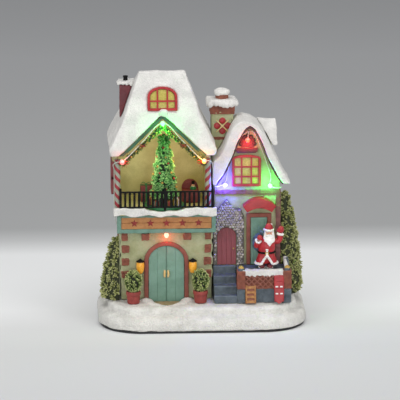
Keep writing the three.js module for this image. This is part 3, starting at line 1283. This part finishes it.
function cottageString() {
  const reach = BULB + 2 * GAP;
  const at = ([across, up, out]) => [across * GABLE_HALF, -out * reach, GABLE_FOOT + up * GABLE_RISE];
  const wire = rod(COTTAGE_ROUTE.map(at), WIRE, STRING_STEPS, 6);
  const drop = rod(COTTAGE_DROP.map(at), WIRE, CURVE, 6);
  return join(wire, drop, ...bulbs(COTTAGE_BULBS.map(at)));
}

// Assembly

const shopRight = SHOP_X + SHOP_WIDTH / 2;
const roomX = SHOP_X + ROOM_SHIFT;
const cottageX = shopRight + HOUSE_GAP + COTTAGE_WIDTH / 2;

const village = new THREE.Group();

function groupAt(parent, x, y, z) {
  const group = new THREE.Group();
  group.position.set(x, y, z);
  parent.add(group);
  return group;
}

function addPiece(parent, name, geometry, material, [x, y, z] = [0, 0, 0]) {
  const mesh = new THREE.Mesh(geometry, material);
  mesh.name = name;
  mesh.position.set(x, y, z);
  parent.add(mesh);
  return mesh;
}

function leaningPiece(parent, name, geometry, material, x, length, lean) {
  const foot = -PORCH_OUT - 2 * GAP - length * Math.sin(lean);
  const mesh = addPiece(parent, name, geometry, material, [x, foot, GAP]);
  mesh.rotation.x = -lean;
}

addPiece(village, 'snow_base', snowBase(), snow);
addPiece(village, 'base_plate', basePlate(), blackPlastic);

const shop = groupAt(village, SHOP_X, SHOP_FRONT, GROUND);
addPiece(shop, 'shop_ground_walls', shopWalls(), sage);
addPiece(shop, 'door_surround', doorSurround(), brick);
addPiece(shop, 'double_door', doubleDoor(), teal, [0, GAP, 0]);
addPiece(shop, 'doorstep', doorstep(), brick);
for (const [word, side] of [['left', -1], ['right', 1]]) {
  const lanternAt = [(side * LANTERN_SPREAD) / 2, -lanternForward, LANTERN_LEVEL];
  addPiece(shop, `lantern_${word}`, lantern(), lampGlass, lanternAt);
  addPiece(shop, `potted_bush_${word}`, pottedBush(), foliage, [(side * BUSH_SPREAD) / 2, -POT_FORWARD, GAP]);
}
addPiece(shop, 'sign_frame', signFrame(), teal);
addPiece(shop, 'sign_board', signBoard(), oak);
addPiece(shop, 'sign_light', signLight(), brightRed);
addPiece(shop, 'balcony_floor', balconyFloor(), sage);
addPiece(shop, 'balcony_snow', balconySnow(), snow);
addPiece(shop, 'balcony_railing', railing(), iron);
addPiece(shop, 'gear_motor', gearMotor(), blackPlastic, [TREE_SHIFT, TREE_BACK, slabBottom]);
addPiece(shop, 'battery_box', batteryBox(), blackPlastic);
for (let i = 0; i < CELLS; i += 1) {
  const z = BAY_LEVEL + BAY_SKIN + CELL_PITCH * (i + 0.5);
  const y = SHOP_DEPTH - bayDepth + BAY_SKIN + CELL_RADIUS + GAP;
  const mesh = addPiece(shop, `battery_${i + 1}`, cell(), steel, [BAY_X, y, z]);
  mesh.rotation.z = i % 2 === 0 ? 0 : Math.PI;
}
addPiece(shop, 'battery_door', batteryDoor(), blackPlastic, [BAY_X, hingeBack, hingeLevel]);
addPiece(shop, 'switch_board', switchBoard(), boardGreen);
addPiece(shop, 'switch_knob', switchKnob(), blackPlastic, [SWITCH_X - SWITCH_TRAVEL / 2, 0, SWITCH_LEVEL]);

const tree = groupAt(shop, TREE_SHIFT, TREE_BACK, floorTop);
addPiece(tree, 'tree_platter', treePlatter(), platterGreen);
addPiece(tree, 'indoor_tree', indoorTree(), pine);

const upper = groupAt(shop, ROOM_SHIFT, 0, floorTop);
addPiece(upper, 'toy_room', toyRoom(), cream);
const postSide = ROOM_WIDTH / 2 - POST_INSET;
addPiece(upper, 'striped_post_left', stripedPost(), candy, [-postSide, -ROOM_SETBACK, 0]);
addPiece(upper, 'striped_post_right', stripedPost(), candy, [postSide, -ROOM_SETBACK, 0]);
addPiece(upper, 'gift_box', giftBox(), darkRed, [-GIFT_SIDE, GIFT_BACK, 0]);
addPiece(upper, 'toy_chest', toyChest(), darkRed, [CHEST_SIDE, CHEST_BACK, 0]);
addPiece(upper, 'shop_roof', shopRoof(), snow);
addPiece(upper, 'gable_trim', gableTrim(), teal);
addPiece(upper, 'gable_garland', garland(), pine);
const roofWindow = [ROOF_WINDOW_WIDTH, ROOF_WINDOW_HEIGHT, ROOF_WINDOW_ARCH, ROOF_WINDOW_FRAME, ROOF_WINDOW_THICK];
const proud = ROOF_WINDOW_THICK / 2;
const roofFrame = windowFrame(...roofWindow, ROOF_WINDOW_ROWS).translate(0, proud, 0);
addPiece(upper, 'roof_window_frame', onRoofFront(roofFrame), brightRed);
addPiece(upper, 'roof_window_panes', onRoofFront(windowPane(...roofWindow).translate(0, proud, 0)), amber);
addPiece(upper, 'shop_chimney', stack(), darkRed);
addPiece(upper, 'shop_chimney_snow', stackSnow(), snow);
addPiece(upper, 'led_string_shop', shopString(), whiteWire);

const cottage = groupAt(village, cottageX, COTTAGE_FRONT, GROUND);
addPiece(cottage, 'cottage_walls', cottageWalls(), sage);
addPiece(cottage, 'cottage_gable_roof', gableRoof(), snow);
addPiece(cottage, 'cottage_rear_roof', rearRoof(), snow);
const gableWindow = [WINDOW_WIDTH, WINDOW_HEIGHT, WINDOW_ARCH, WINDOW_FRAME, WINDOW_THICK];
const windowAt = [WINDOW_SHIFT, -GAP, WINDOW_LEVEL];
addPiece(cottage, 'gable_window_frame', windowFrame(...gableWindow, WINDOW_ROWS), brightRed, windowAt);
addPiece(cottage, 'gable_window_panes', windowPane(...gableWindow), amber, windowAt);
const stoneX = stoneLeft() + STONE_WIDTH / 2;
addPiece(cottage, 'stone_arch', stoneArch(), pebble, [stoneX, 0, 0]);
addPiece(cottage, 'red_door', redDoor(), darkRed, [stoneLeft() + RED_DOOR_SIDE + RED_DOOR_WIDTH / 2, 0, 0]);
addPiece(cottage, 'teal_door', tealDoor(), teal, [TEAL_DOOR_X, 0, 0]);
addPiece(cottage, 'teal_door_frame', tealFrame(), brick, [TEAL_DOOR_X, 0, 0]);
addPiece(cottage, 'door_awning', awning(), brightRed, [TEAL_DOOR_X, 0, 0]);
addPiece(cottage, 'cottage_chimney', chimney(), sage);
addPiece(cottage, 'cottage_chimney_snow', chimneySnow(), snow);
addPiece(cottage, 'porch_stairs', stairs(), slate);
addPiece(cottage, 'porch_block', porchBlock(), slate);
addPiece(cottage, 'porch_snow', porchSnow(), snow);
leaningPiece(cottage, 'wooden_sled', woodenSled(), oak, SLED_X, SLED_LENGTH, SLED_LEAN);
leaningPiece(cottage, 'red_sled', redSled(), brightRed, RED_SLED_X, RED_SLED_LENGTH, RED_SLED_LEAN);
addPiece(cottage, 'santa_figure', santa(), brightRed, [SANTA_X, -SANTA_FORWARD, PORCH_HEIGHT]);
addPiece(cottage, 'led_string_cottage', cottageString(), whiteWire);

const firs = groupAt(village, 0, 0, GROUND);
const shopWall = SHOP_X - SHOP_WIDTH / 2 - QUOIN_OUT - GAP;
const shortFir = fir(FIR_SHORT_RADIUS, FIR_SHORT).translate(shopWall - FIR_SHORT_OFF, SHOP_FRONT + FIR_SHORT_BACK, 0);
addPiece(firs, 'fir_left', cut(shortFir, block([shopWall, FAR], [-FAR, FAR], [-FAR, FAR])), foliage);
const cottageWall = cottageX + COTTAGE_WIDTH / 2 + GAP;
const tallFir = fir(FIR_RADIUS, FIR_TALL).translate(cottageWall + FIR_TALL_OFF, COTTAGE_FRONT + FIR_TALL_BACK, 0);
addPiece(firs, 'fir_right', cut(tallFir, block([-FAR, cottageWall], [-FAR, FAR], [-FAR, FAR])), foliage);

export default village;
